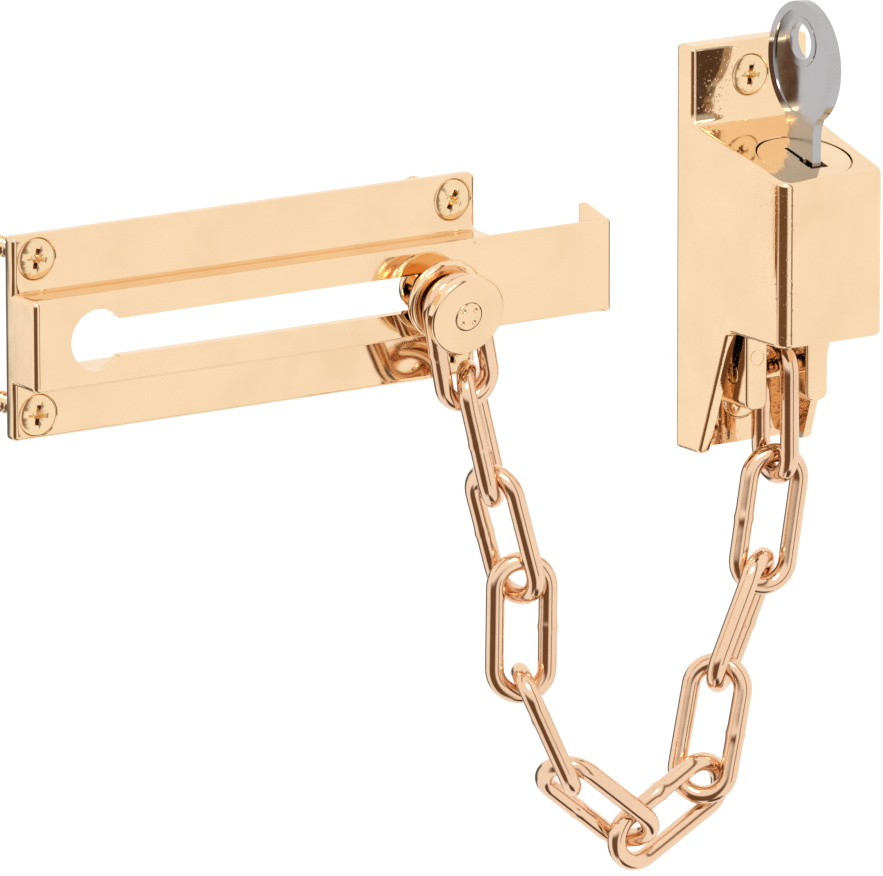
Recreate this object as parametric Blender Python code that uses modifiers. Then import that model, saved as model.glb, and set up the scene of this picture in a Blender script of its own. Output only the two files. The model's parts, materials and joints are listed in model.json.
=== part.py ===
"""Door chain guard: a slotted track bracket, a slider with its chain, and a keyed lock that holds
the chain's other end in a fork.

Metres, +Z up. +X runs along the track towards the lock and +Y runs into the door. The back faces of
the track bracket and of the lock lie on y = 0. The origin is on the track's back face, halfway along
the plate and in the middle of the strip below the channel. Sizes below are in millimetres.
"""

import math

import bmesh
import bpy
import numpy as np
from mathutils import Vector

MM = 0.001
GAP = 0.3

# Track bracket
PLATE_LENGTH, PLATE_HEIGHT, PLATE_THICK = 104.0, 40.0, 3.4
PLATE_TOP = 34.5
CHANNEL_HEIGHT, CHANNEL_FRONT, CHANNEL_WALL = 18.2, 11.6, 2.2
ARM_OVERHANG = 26.0
LIP_BACK, LIP_RISE = 2.8, 2.0
KEYHOLE_DIAMETER, KEYHOLE_FROM_END = 12.0, 14.0
SLOT_HEIGHT, TRAVEL = 7.3, 75.9
SCREW_INSET, SCREW_DROP = 5.3, 4.7

# Slider, which hangs tilted in its slot. Its pieces' places are distances out along its own axis.
TILT_DEGREES, SLIDER_SAG = 12.0, 0.2
SHAFT_DIAMETER, DISC_DIAMETER, BUTTON_DIAMETER = 5.8, 16.2, 11.0
RIVET_DIAMETER, SLEEVE_DIAMETER = 4.0, 5.8
BUTTON_BACK, BUTTON_FRONT = -4.2, -2.7
FLANGE_BACK, FLANGE_FRONT, DISC_BACK, DISC_FRONT = 3.1, 5.2, 10.4, 13.0

# Chain
WIRE, LINK_LENGTH, LINK_WIDTH, LINK_CLEARANCE = 3.8, 30.5, 14.2, 0.2
LINK_HEADINGS = (-73.0, -75.9, -74.2, -90.9, -64.1, -39.7, 29.2, 78.6, 65.6, 80.9, 90.4)
LINK_TWISTS = (1, 51, 108, 157, 247, 304, 354, 404, 499, 553, 631)

# Screws, number 8 flat heads
HEAD_DIAMETER, SHANK_DIAMETER, CONE_DEPTH, SCREW_LENGTH = 8.0, 4.1, 2.4, 19.0

# Lock housing. Its cheeks lean in towards the front by DRAFT, and drops are measured from its top.
LOCK_LEFT, LOCK_WIDTH, LOCK_RISE, LOCK_HEIGHT, DRAFT = 100.6, 27.7, 19.5, 81.6, 0.05
LOCK_PLATE, LOCK_LOWER_PLATE, LOCK_FRONT, CHEEK = 5.5, 2.8, 35.3, 2.2
TOP_FACE_BACK, TOP_FACE_FRONT = 15.8, 22.0
UNDERSIDE, GUSSET_TOP_DEPTH, GUSSET_FOOT_DEPTH = 55.1, 17.3, 8.0
UPPER_SCREW_DROP, LOWER_SCREW_DROP = 7.0, 72.7

# Cylinder and key
CYLINDER_DEPTH, HOLE_DIAMETER, FACE_DROP = 24.6, 19.0, 21.9
PLUG_DIAMETER, BODY_LENGTH, PLUG_HEAD, TAIL_LENGTH = 13.0, 16.5, 2.0, 3.2
FACE_SUNK = 0.2
KEYWAY_WIDTH, KEYWAY_LENGTH = 2.8, 10.0
BLADE_THICK, BLADE_WIDTH, BLADE_LENGTH = 2.0, 8.8, 16.5
BOW_WIDTH, BOW_HEIGHT, BOW_RISE, BOW_HOLE = 22.6, 24.4, 8.7, 7.4
WAFER_COUNT, WAFER_THICK, WAFER_PITCH = 5, 0.9, 2.6
CAM_THICK, CAM_REACH, CAM_WIDTH = 2.4, 9.0, 6.0

# Fork and its pin
FORK_FRONT, FORK_THICK, FORK_WIDTH, PRONG_WIDTH = 19.1, 10.0, 19.3, 5.05
FORK_TOP_DROP, CROTCH_DROP, FORK_BOTTOM_DROP = 41.2, 56.3, 71.0
PIN_DIAMETER, PIN_DROP = 3.9, 64.3

BRASS = ((0.93, 0.66, 0.40), 0.14, 1.0)
CHAIN_BRASS = ((0.88, 0.58, 0.38), 0.18, 1.0)
STEEL = ((0.62, 0.62, 0.64), 0.22, 1.0)
DARK_STEEL = ((0.30, 0.30, 0.32), 0.35, 1.0)

LOCK_X = LOCK_LEFT + LOCK_WIDTH / 2
LOCK_TOP = PLATE_TOP + LOCK_RISE
PLATE_LEFT = -PLATE_LENGTH / 2
CHANNEL_Z = PLATE_TOP - PLATE_HEIGHT / 2
KEYHOLE_X = PLATE_LEFT + KEYHOLE_FROM_END
SLIDER_X = KEYHOLE_X + TRAVEL
TILT = math.radians(TILT_DEGREES)
SLIDER_OUT = Vector((0, -math.cos(TILT), -math.sin(TILT)))
SLIDER_UP = Vector((0, -math.sin(TILT), math.cos(TILT)))
SLIDER_PLACE = Vector((SLIDER_X, -CHANNEL_FRONT + CHANNEL_WALL / 2, CHANNEL_Z - SLIDER_SAG))
ROUND_STEPS = 28


# ---------------------------------------------------------------- scene and materials


def clear_scene():
    for obj in list(bpy.data.objects):
        bpy.data.objects.remove(obj, do_unlink=True)


def new_collection(name):
    collection = bpy.data.collections.new(name)
    bpy.context.scene.collection.children.link(collection)
    return collection


def new_object(name, mesh, collection, location=(0, 0, 0)):
    obj = bpy.data.objects.new(name, mesh)
    obj.location = Vector(location) * MM
    collection.objects.link(obj)
    return obj


def give_material(obj, look):
    colour, roughness, metallic = look
    material = bpy.data.materials.new(obj.name)
    material.use_nodes = True
    shader = material.node_tree.nodes["Principled BSDF"]
    shader.inputs["Base Color"].default_value = (*colour, 1.0)
    shader.inputs["Roughness"].default_value = roughness
    shader.inputs["Metallic"].default_value = metallic
    obj.data.materials.clear()
    obj.data.materials.append(material)


def as_cutter(obj):
    obj.hide_render = True
    obj.display_type = "WIRE"
    return obj


# ---------------------------------------------------------------- modelling helpers


def box(name, low, high, collection, origin=(0, 0, 0)):
    """A box between two corners in millimetres, as an object whose origin is at `origin`."""
    low, high, origin = Vector(low), Vector(high), Vector(origin)
    bm = bmesh.new()
    bmesh.ops.create_cube(bm, size=1.0)
    size, middle = high - low, (low + high) / 2 - origin
    bmesh.ops.scale(bm, vec=size * MM, verts=bm.verts)
    bmesh.ops.translate(bm, vec=middle * MM, verts=bm.verts)
    mesh = bpy.data.meshes.new(name)
    bm.to_mesh(mesh)
    bm.free()
    return new_object(name, mesh, collection, origin)


def prism(name, outline, axis, start, end, collection, origin=(0, 0, 0)):
    """An outline of (u, v) points swept along an axis: "X" reads (y, z) and "Y" reads (x, z)."""
    def place(u, v, along):
        point = Vector((along, u, v)) if axis == "X" else Vector((u, along, v))
        return (point - Vector(origin)) * MM

    bm = bmesh.new()
    bottom = [bm.verts.new(place(u, v, start)) for u, v in outline]
    face = bm.faces.new(bottom)
    swept = bmesh.ops.extrude_face_region(bm, geom=[face])
    moved = [item for item in swept["geom"] if isinstance(item, bmesh.types.BMVert)]
    step = place(0, 0, end) - place(0, 0, start)
    bmesh.ops.translate(bm, vec=step, verts=moved)
    bmesh.ops.recalc_face_normals(bm, faces=bm.faces)
    mesh = bpy.data.meshes.new(name)
    bm.to_mesh(mesh)
    bm.free()
    return new_object(name, mesh, collection, origin)


def turned(name, profile, collection, place=(0, 0, 0), direction=(0, 0, 1), steps=ROUND_STEPS):
    """A solid of revolution. The profile's (radius, height) points run top to bottom on the outside.

    A profile that leaves the axis is closed into a ring.
    """
    mesh = bpy.data.meshes.new(name)
    points = [(radius * MM, 0, height * MM) for radius, height in profile]
    edges = [(i, i + 1) for i in range(len(points) - 1)]
    if profile[0][0] > 0:
        edges.append((len(points) - 1, 0))
    mesh.from_pydata(points, edges, [])
    obj = new_object(name, mesh, collection, place)
    obj.rotation_mode = "QUATERNION"
    obj.rotation_quaternion = Vector((0, 0, 1)).rotation_difference(Vector(direction))
    screw = obj.modifiers.new("Turn", "SCREW")
    screw.steps = screw.render_steps = steps
    screw.use_merge_vertices = True
    screw.merge_threshold = 0.00001
    return obj


def disc(name, radius, low, high, collection, place, direction, hole=0.0, edge=0.0, steps=ROUND_STEPS):
    """A disc or washer between two heights along its direction, with small chamfers on its rims."""
    outer = [(radius - edge, high), (radius, high - edge), (radius, low + edge), (radius - edge, low)]
    if not edge:
        outer = [(radius, high), (radius, low)]
    ends = ([(hole, high)], [(hole, low)]) if hole else ([(0, high)], [(0, low)])
    return turned(name, ends[0] + outer + ends[1], collection, place, direction, steps)


def bevelled(obj, width, segments=2, angle=40):
    bevel = obj.modifiers.new("Bevel", "BEVEL")
    bevel.width = width * MM
    bevel.segments = segments
    bevel.limit_method = "ANGLE"
    bevel.angle_limit = math.radians(angle)
    return obj


def boolean(obj, cutter, operation="DIFFERENCE"):
    modifier = obj.modifiers.new(cutter.name, "BOOLEAN")
    modifier.operation = operation
    modifier.object = as_cutter(cutter)
    modifier.solver = "EXACT"


def finish(obj, look, smooth_angle=35):
    give_material(obj, look)
    if obj.data.polygons:
        obj.data.shade_smooth()
        obj.data.set_sharp_from_angle(angle=math.radians(smooth_angle))


def stadium(radius, half_length, steps):
    """A slot outline about the origin, along u: two half circles joined by straight sides."""
    points = []
    for side in (1, -1):
        for i in range(steps + 1):
            angle = math.radians(-90 * side) + math.pi * i / steps
            points.append((side * half_length + radius * math.cos(angle), radius * math.sin(angle)))
    return points


# ---------------------------------------------------------------- screws


def countersink(name, place, thick, tools):
    """A clearance hole and a cone for one screw. `place` is on the plate's front face."""
    grow = GAP
    head, shank = HEAD_DIAMETER / 2 + grow, SHANK_DIAMETER / 2 + grow
    profile = [(0, 1), (head, 1), (head, 0), (shank, -(CONE_DEPTH + grow))]
    profile += [(shank, -thick - 1), (0, -thick - 1)]
    return turned(name, profile, tools, place, (0, -1, 0))


def flat_head_screw(name, place, parts, tools):
    """A flat-head screw with a cross recess, its face level with `place`, pointing into +Y."""
    head, shank, sunk = HEAD_DIAMETER / 2, SHANK_DIAMETER / 2, 0.05
    profile = [(0, -sunk), (head - 0.2, -sunk), (head, -0.3), (shank, -CONE_DEPTH - sunk)]
    profile += [(shank, -SCREW_LENGTH + 4), (0.3, -SCREW_LENGTH), (0, -SCREW_LENGTH)]
    screw = turned(name, profile, parts, place, (0, -1, 0), 20)
    x, y, z = place
    for turn, (wide, tall) in enumerate(((2.3, 0.5), (0.5, 2.3))):
        low, high = (x - wide, y - 1, z - tall), (x + wide, y + 1.7, z + tall)
        boolean(screw, box(f"{name}_recess_{turn}", low, high, tools, place))
    finish(screw, BRASS)


def add_screws(spots, prefix, parts, tools):
    for number, spot in enumerate(spots, 1):
        flat_head_screw(f"{prefix}_{number}", spot, parts, tools)


# ---------------------------------------------------------------- track bracket


def track_screw_spots():
    left, right = PLATE_LEFT + SCREW_INSET, -PLATE_LEFT - SCREW_INSET
    top, bottom = PLATE_TOP - SCREW_DROP, PLATE_TOP - PLATE_HEIGHT + SCREW_DROP
    return [(x, -PLATE_THICK, z) for x in (left, right) for z in (top, bottom)]


def end_lip(tools):
    """The arm's end lip, a thin flange that runs back from the arm and grows taller as it goes."""
    right, half = -PLATE_LEFT + ARM_OVERHANG, CHANNEL_HEIGHT / 2
    low, high = (right - 2, -CHANNEL_FRONT, CHANNEL_Z - half), (right, -LIP_BACK, CHANNEL_Z + half)
    lip = box("lip", low, high, tools)
    for vertex in lip.data.vertices:
        if vertex.co.y > -LIP_BACK * MM - 1e-6:
            vertex.co.z += LIP_RISE * MM * math.copysign(1, vertex.co.z - CHANNEL_Z * MM)
    return lip


def build_track(parts, tools):
    plate_bottom = PLATE_TOP - PLATE_HEIGHT
    half, right = CHANNEL_HEIGHT / 2, -PLATE_LEFT
    track = box("track_bracket", (PLATE_LEFT, -PLATE_THICK, plate_bottom), (right, 0, PLATE_TOP), parts)
    bevelled(track, 1.0)
    bottom, top = CHANNEL_Z - half, CHANNEL_Z + half
    body = box("channel_body", (PLATE_LEFT, -CHANNEL_FRONT, bottom), (right, -0.5, top), tools)
    arm_back = -CHANNEL_FRONT + CHANNEL_WALL
    arm_right = right + ARM_OVERHANG
    arm = box("arm", (right - 6, -CHANNEL_FRONT, bottom), (arm_right, arm_back, top), tools)
    for addition in (bevelled(body, 1.2), bevelled(arm, 0.8), end_lip(tools)):
        boolean(track, addition, "UNION")
    inner = half - CHANNEL_WALL
    left_wall = PLATE_LEFT + CHANNEL_WALL
    low, high = (left_wall, arm_back, CHANNEL_Z - inner), (right + 1, 1, CHANNEL_Z + inner)
    boolean(track, box("channel_hollow", low, high, tools))
    slot = [(SLIDER_X - TRAVEL / 2 + u, CHANNEL_Z + v) for u, v in stadium(SLOT_HEIGHT / 2, TRAVEL / 2, 10)]
    boolean(track, prism("slot", slot, "Y", -CHANNEL_FRONT - 1, arm_back + 1, tools))
    hole = (KEYHOLE_X, -CHANNEL_FRONT, CHANNEL_Z)
    boolean(track, disc("keyhole", KEYHOLE_DIAMETER / 2, -CHANNEL_WALL - 1, 1, tools, hole, (0, -1, 0)))
    for number, spot in enumerate(track_screw_spots(), 1):
        boolean(track, countersink(f"track_countersink_{number}", spot, PLATE_THICK, tools))
    finish(track, BRASS)
    add_screws(track_screw_spots(), "track_screw", parts, tools)


# ---------------------------------------------------------------- slider


def build_slider(parts):
    """The slider's pieces along its tilted shaft: rear button, flanged shoe, sleeve and front disc."""
    shaft, rivet, sleeve = SHAFT_DIAMETER / 2, RIVET_DIAMETER / 2, SLEEVE_DIAMETER / 2
    button, disc_radius, hole = BUTTON_DIAMETER / 2, DISC_DIAMETER / 2, RIVET_DIAMETER / 2 + 0.1
    profile = [(0, DISC_FRONT + 0.2), (shaft - 0.6, DISC_FRONT + 0.2), (shaft, DISC_FRONT - 0.3)]
    profile += [(shaft, DISC_BACK + 0.2), (rivet, DISC_BACK + 0.2), (rivet, BUTTON_FRONT)]
    profile += [(button, BUTTON_FRONT), (button, BUTTON_BACK), (0, BUTTON_BACK)]
    pieces = {"slider_stud": profile}
    rim = 0.7
    shoe = [(hole, FLANGE_FRONT), (disc_radius - rim, FLANGE_FRONT), (disc_radius, FLANGE_FRONT - rim)]
    shoe += [(disc_radius, FLANGE_BACK + rim), (disc_radius - rim, FLANGE_BACK), (shaft, FLANGE_BACK)]
    shoe += [(shaft, BUTTON_FRONT + GAP), (hole, BUTTON_FRONT + GAP)]
    pieces["slider_shoe"] = shoe
    sleeve_back, sleeve_front = FLANGE_FRONT + 0.2, DISC_BACK - 0.2
    around = [(hole, sleeve_front), (sleeve, sleeve_front), (sleeve, sleeve_back), (hole, sleeve_back)]
    pieces["slider_sleeve"] = around
    hole, edge = shaft + 0.1, 0.4
    front = [(hole, DISC_FRONT), (disc_radius - edge, DISC_FRONT), (disc_radius, DISC_FRONT - edge)]
    front += [(disc_radius, DISC_BACK + edge), (disc_radius - edge, DISC_BACK), (hole, DISC_BACK)]
    pieces["slider_front_disc"] = front
    for name, outline in pieces.items():
        finish(turned(name, outline, parts, SLIDER_PLACE, SLIDER_OUT, 32), BRASS)


# ---------------------------------------------------------------- chain


def link_frame(heading, twist, up=Vector((0, 0, 1)), out=Vector((0, -1, 0))):
    """A link's long and wide directions, from its heading in the plane of X and `up` and its twist."""
    angle, turn = math.radians(heading), math.radians(twist)
    right = Vector((1, 0, 0))
    along = right * math.cos(angle) + up * math.sin(angle)
    across = up * math.cos(angle) - right * math.sin(angle)
    return along, across * math.cos(turn) - out * math.sin(turn)


def link_line(start, along, wide, arc_steps=8, side_steps=3):
    """Points of a link's wire centre line, from its starting end's outermost point."""
    radius = (LINK_WIDTH - WIRE) / 2
    near, far = start + along * radius, start + along * (LINK_LENGTH - WIRE - radius)
    points = []
    for centre, other, sign in ((far, near, 1), (near, far, -1)):
        for i in range(arc_steps + 1):
            angle = math.pi * i / arc_steps
            points.append(centre + (along * math.sin(angle) + wide * math.cos(angle)) * radius * sign)
        step = (other - centre) / side_steps
        points += [points[-1] + step * i for i in range(1, side_steps)]
    return points


def nearest(line_a, line_b):
    """The shortest distance between two closed lines, and the direction from the first to the second."""
    def samples(line):
        here, after = np.array(line), np.roll(np.array(line), -1, axis=0)
        return np.concatenate([here + (after - here) * part for part in (0.0, 0.25, 0.5, 0.75)])

    a, b = samples(line_a), samples(line_b)
    apart = b[None, :, :] - a[:, None, :]
    lengths = np.sqrt((apart**2).sum(axis=2))
    index = np.unravel_index(lengths.argmin(), lengths.shape)
    return float(lengths[index]), Vector(apart[index] / lengths[index])


def hang_chain():
    """Each link's start point, long and wide directions, hooked tight into the link before it.

    The first link lies between the slider's discs, so it is tilted as they are.
    """
    clear = WIRE + LINK_CLEARANCE
    links = []
    for heading, twist in zip(LINK_HEADINGS, LINK_TWISTS):
        if not links:
            along, wide = link_frame(heading, twist, SLIDER_UP, SLIDER_OUT)
            ring = SLEEVE_DIAMETER / 2 + WIRE / 2 + GAP
            start = SLIDER_PLACE + SLIDER_OUT * (FLANGE_FRONT + DISC_BACK) / 2 - along * ring
            links.append((start, along, wide))
            continue
        along, wide = link_frame(heading, twist)
        last_start, last_along, last_wide = links[-1]
        pull = (last_along + along).normalized()
        last_line = link_line(last_start, last_along, last_wide)
        start = last_start + last_along * (LINK_LENGTH - WIRE) - pull * clear * 1.3
        for step in range(240):
            if step < 180:
                start = start + pull * 0.03
            distance, away = nearest(last_line, link_line(start, along, wide))
            if distance < clear:
                start = start + away * (clear - distance)
        links.append((start, along, wide))
    return links


def build_chain(parts):
    for number, (start, along, wide) in enumerate(hang_chain(), 1):
        curve = bpy.data.curves.new(f"link_{number:02d}", "CURVE")
        curve.dimensions = "3D"
        curve.bevel_depth = WIRE / 2 * MM
        curve.bevel_resolution = 2
        points = link_line(start, along, wide)
        spline = curve.splines.new("POLY")
        spline.points.add(len(points) - 1)
        for target, point in zip(spline.points, points):
            target.co = (*((point - start) * MM), 1.0)
        spline.use_cyclic_u = True
        spline.use_smooth = True
        link = new_object(curve.name, curve, parts, start)
        give_material(link, CHAIN_BRASS)


# ---------------------------------------------------------------- lock housing


def below_lock_top(drop):
    return LOCK_TOP - drop


def housing_outline():
    """The housing's side view as (y, z) points, from the back top corner round the front."""
    corners = [
        (0, 0), (LOCK_PLATE, 0), (LOCK_PLATE, TOP_FACE_BACK - 0.8), (LOCK_PLATE + 0.8, TOP_FACE_BACK),
        (LOCK_FRONT, TOP_FACE_FRONT), (LOCK_FRONT, UNDERSIDE), (GUSSET_TOP_DEPTH, UNDERSIDE),
        (GUSSET_FOOT_DEPTH, LOCK_HEIGHT), (0, LOCK_HEIGHT),
    ]
    return [(-depth, below_lock_top(drop)) for depth, drop in corners]


def lock_screw_spots():
    return [
        (LOCK_X, -LOCK_PLATE, below_lock_top(UPPER_SCREW_DROP)),
        (LOCK_X, -LOCK_LOWER_PLATE, below_lock_top(LOWER_SCREW_DROP)),
    ]


def drafted(name, low, high, tools):
    """A box whose left and right sides lean in towards the front, as the housing's cheeks do."""
    block = box(name, low, high, tools)
    for vertex in block.data.vertices:
        lean = -vertex.co.y * DRAFT
        vertex.co.x += lean if vertex.co.x < LOCK_X * MM else -lean
    return block


def build_housing(parts, tools):
    left, right = LOCK_LEFT, LOCK_LEFT + LOCK_WIDTH
    foot = below_lock_top(LOCK_HEIGHT)
    housing = prism("lock_housing", housing_outline(), "X", left, right, parts)
    for vertex in housing.data.vertices:
        lean = -vertex.co.y * DRAFT
        vertex.co.x += lean if vertex.co.x < LOCK_X * MM else -lean
    bevelled(housing, 1.5)
    inner_left, inner_right = left + CHEEK, right - CHEEK
    floor, roof = below_lock_top(UNDERSIDE - 2.5), below_lock_top(TOP_FACE_FRONT + 2.4)
    front_inside = -(LOCK_FRONT - 0.8)
    fork_room = FORK_FRONT + GAP
    hollows = {
        "main_hollow": ((inner_left, front_inside, floor), (inner_right, 1, roof)),
        "fork_way": ((inner_left + 0.1, -fork_room, foot - 1),
                     (inner_right - 0.1, -LOCK_LOWER_PLATE, floor + 1)),
    }
    for name, (low, high) in hollows.items():
        boolean(housing, drafted(name, low, high, tools))
    hole = (LOCK_X, -CYLINDER_DEPTH, below_lock_top(FACE_DROP))
    boolean(housing, disc("cylinder_hole", HOLE_DIAMETER / 2, -8, 8, tools, hole, (0, 0, 1), steps=40))
    thickness = (LOCK_PLATE, LOCK_LOWER_PLATE)
    for number, (spot, thick) in enumerate(zip(lock_screw_spots(), thickness), 1):
        boolean(housing, countersink(f"lock_countersink_{number}", spot, thick, tools))
    finish(housing, BRASS)
    add_screws(lock_screw_spots(), "lock_screw", parts, tools)


# ---------------------------------------------------------------- cylinder, key and cam


def build_cylinder(parts, tools):
    face = below_lock_top(FACE_DROP)
    place, up = (LOCK_X, -CYLINDER_DEPTH, face), (0, 0, 1)
    head, plug = HOLE_DIAMETER / 2 - GAP, PLUG_DIAMETER / 2
    under_head, bottom = -PLUG_HEAD - GAP, -PLUG_HEAD - GAP - BODY_LENGTH
    body = disc("cylinder_body", head, bottom, under_head, parts, place, up, plug + GAP, 0.3, 36)
    finish(body, DARK_STEEL)
    tail, clip_at = bottom - TAIL_LENGTH, bottom - 0.9
    spindle = 3.4
    profile = [(0, 6), (head, 6), (head, -PLUG_HEAD), (plug, -PLUG_HEAD), (plug, bottom - GAP)]
    profile += [(spindle, bottom - GAP), (spindle, tail - CAM_THICK - 0.2), (0, tail - CAM_THICK - 0.2)]
    cylinder_plug = turned("cylinder_plug", profile, parts, place, up, 36)
    x, y = LOCK_X, -CYLINDER_DEPTH
    slope = (TOP_FACE_FRONT - TOP_FACE_BACK) / (LOCK_FRONT - LOCK_PLATE - 0.8)
    middle = below_lock_top(TOP_FACE_BACK + slope * (CYLINDER_DEPTH - LOCK_PLATE - 0.8)) - FACE_SUNK
    above = [(y + 12, middle + 12 * slope), (y - 12, middle - 12 * slope)]
    above += [(y - 12, face + 20), (y + 12, face + 20)]
    boolean(cylinder_plug, prism("plug_face", above, "X", x - 12, x + 12, tools))
    half_x, half_y = KEYWAY_WIDTH / 2, KEYWAY_LENGTH / 2
    key_room = BLADE_LENGTH + 1.0
    low, high = (x - half_x, y - half_y, face - key_room), (x + half_x, y + half_y, face + 8)
    boolean(cylinder_plug, box("keyway", low, high, tools, place))
    for number in range(1, WAFER_COUNT + 1):
        build_wafer(number, cylinder_plug, parts, tools)
    finish(cylinder_plug, BRASS)
    clip_hole = spindle + 0.15
    clip = disc("retaining_clip", spindle + 1.3, clip_at - 0.6, clip_at, parts, place, up, clip_hole, 0, 24)
    finish(clip, DARK_STEEL)
    build_cam(face + tail, spindle, parts, tools)


def build_wafer(number, plug, parts, tools):
    """One tumbler wafer and the slot that it slides in, across the plug."""
    x, y, face = LOCK_X, -CYLINDER_DEPTH, below_lock_top(FACE_DROP)
    top = face - PLUG_HEAD - 2.0 - (number - 1) * WAFER_PITCH
    low_z, high_z = top - WAFER_THICK, top
    half_x, half_y = 3.4, PLUG_DIAMETER / 2 - 0.35
    low, high = (x - half_x, y - half_y + 0.3, low_z), (x + half_x, y + half_y - 0.3, high_z)
    wafer = box(f"wafer_{number}", low, high, parts, (x, y, top))
    window_x, window_y = BLADE_THICK / 2 + 0.25, BLADE_WIDTH / 2 + 0.3
    low, high = (x - window_x, y - window_y, low_z - 1), (x + window_x, y + window_y, high_z + 1)
    boolean(wafer, box(f"wafer_window_{number}", low, high, tools))
    finish(wafer, STEEL)
    low, high = (x - half_x - 0.3, y - half_y, low_z - 0.3), (x + half_x + 0.3, y + half_y, high_z + 0.3)
    boolean(plug, box(f"wafer_slot_{number}", low, high, tools))


def build_cam(top, spindle, parts, tools):
    """The cam on the plug's tail: at rest its arm points along +X, clear of the fork."""
    x, y = LOCK_X, -CYLINDER_DEPTH
    place = (x, y, top)
    cam = disc("cam", spindle + 1.3, -CAM_THICK, 0, parts, place, (0, 0, 1), 0, 0, 28)
    half = CAM_WIDTH / 2
    arm = box("cam_arm", (x, y - half, top - CAM_THICK), (x + CAM_REACH, y + half, top), tools)
    boolean(cam, arm, "UNION")
    boolean(cam, disc("cam_bore", spindle + 0.1, -CAM_THICK - 1, 1, tools, place, (0, 0, 1), steps=36))
    finish(cam, STEEL)
    under = top - CAM_THICK - 0.5
    finish(disc("cam_screw", 4.4, -1.5, 0, parts, (x, y, under), (0, 0, 1), 0, 0.4, 24), STEEL)


def build_key(parts, tools):
    """A flat key in the YZ plane: a rounded bow with a hole, a shank and a blade down the keyway."""
    face, y = below_lock_top(FACE_DROP), -CYLINDER_DEPTH
    half, blade = BLADE_THICK / 2, BLADE_WIDTH / 2
    bow_z = face + BOW_RISE + BOW_HEIGHT / 2
    steps = 36
    bow = []
    for i in range(steps):
        angle = 2 * math.pi * i / steps
        bow.append((y + BOW_WIDTH / 2 * math.cos(angle), bow_z + BOW_HEIGHT / 2 * math.sin(angle)))
    place = (LOCK_X, y, face)
    key = prism("key", bow, "X", LOCK_X - half, LOCK_X + half, parts, place)
    tip = face - BLADE_LENGTH
    neck, waist = blade + 2.2, bow_z - BOW_HEIGHT / 2 + 1.9
    outline = [(y - neck, waist + 1.6), (y - blade, waist - 2.6), (y - blade, tip + 3), (y - blade + 3, tip)]
    outline += [(y + blade - 3, tip), (y + blade, tip + 3), (y + blade, waist - 2.6), (y + neck, waist + 1.6)]
    boolean(key, prism("key_blade", outline, "X", LOCK_X - half, LOCK_X + half, tools, place), "UNION")
    hole_at = (LOCK_X, y, bow_z + BOW_HEIGHT / 2 - 8)
    boolean(key, disc("key_hole", BOW_HOLE / 2, -4, 4, tools, hole_at, (1, 0, 0), steps=24))
    finish(key, STEEL)


# ---------------------------------------------------------------- fork


def build_fork(parts, tools):
    """The fork: a block with two prongs, a notch in front for the cam, and a pin across the prongs."""
    half, gap_half = FORK_WIDTH / 2, FORK_WIDTH / 2 - PRONG_WIDTH
    top, crotch, bottom = (below_lock_top(drop) for drop in (FORK_TOP_DROP, CROTCH_DROP, FORK_BOTTOM_DROP))
    corner = 1.8
    back, front = -(FORK_FRONT - FORK_THICK), -FORK_FRONT
    outline = [(LOCK_X - half, top), (LOCK_X - half, bottom + corner), (LOCK_X - half + corner, bottom)]
    outline += [(LOCK_X - gap_half - corner, bottom), (LOCK_X - gap_half, bottom + corner)]
    outline.append((LOCK_X - gap_half, crotch))
    outline += [(2 * LOCK_X - x, z) for x, z in reversed(outline)]
    pin_z = below_lock_top(PIN_DROP)
    middle = (back + front) / 2
    fork = prism("fork", outline, "Y", back, front, parts, (LOCK_X, middle, pin_z))
    cam_top = below_lock_top(FACE_DROP) - PLUG_HEAD - GAP - BODY_LENGTH - TAIL_LENGTH
    notch_low, notch_high = cam_top - CAM_THICK - 0.6, cam_top + 0.6
    low, high = (LOCK_X - half - 1, front - 1, notch_low), (LOCK_X + half + 1, front + 5, notch_high)
    boolean(fork, box("cam_notch", low, high, tools))
    radius, place = PIN_DIAMETER / 2, (LOCK_X, middle, pin_z)
    boolean(fork, disc("pin_bore", radius + 0.05, -half - 1, half + 1, tools, place, (1, 0, 0)))
    finish(fork, BRASS)
    pin = disc("fork_pin", radius, -half + 0.1, half - 0.1, parts, place, (1, 0, 0), 0, 0.2, 24)
    finish(pin, BRASS)


def main():
    clear_scene()
    parts = new_collection("Door chain guard")
    tools = new_collection("Cutters")
    build_track(parts, tools)
    build_slider(parts)
    build_chain(parts)
    build_housing(parts, tools)
    build_cylinder(parts, tools)
    build_key(parts, tools)
    build_fork(parts, tools)


main()
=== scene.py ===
"""Door chain guard in polished brass plate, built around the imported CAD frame.

Metres, +Z up, as in the CAD: +X runs along the track towards the lock and +Y into the door. Sizes
below are in millimetres. Each piece named NODE_finish stands for the CAD node of that name.
"""

import json
import math

import bmesh
import bpy
import numpy as np
from mathutils import Matrix, Vector


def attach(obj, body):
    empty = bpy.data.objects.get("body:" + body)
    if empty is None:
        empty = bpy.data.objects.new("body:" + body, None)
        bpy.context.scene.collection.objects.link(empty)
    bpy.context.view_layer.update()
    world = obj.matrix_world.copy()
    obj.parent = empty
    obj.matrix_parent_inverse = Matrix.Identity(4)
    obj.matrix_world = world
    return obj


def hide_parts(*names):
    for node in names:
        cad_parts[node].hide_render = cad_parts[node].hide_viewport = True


MM = 0.001
GAP = 0.3

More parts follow.
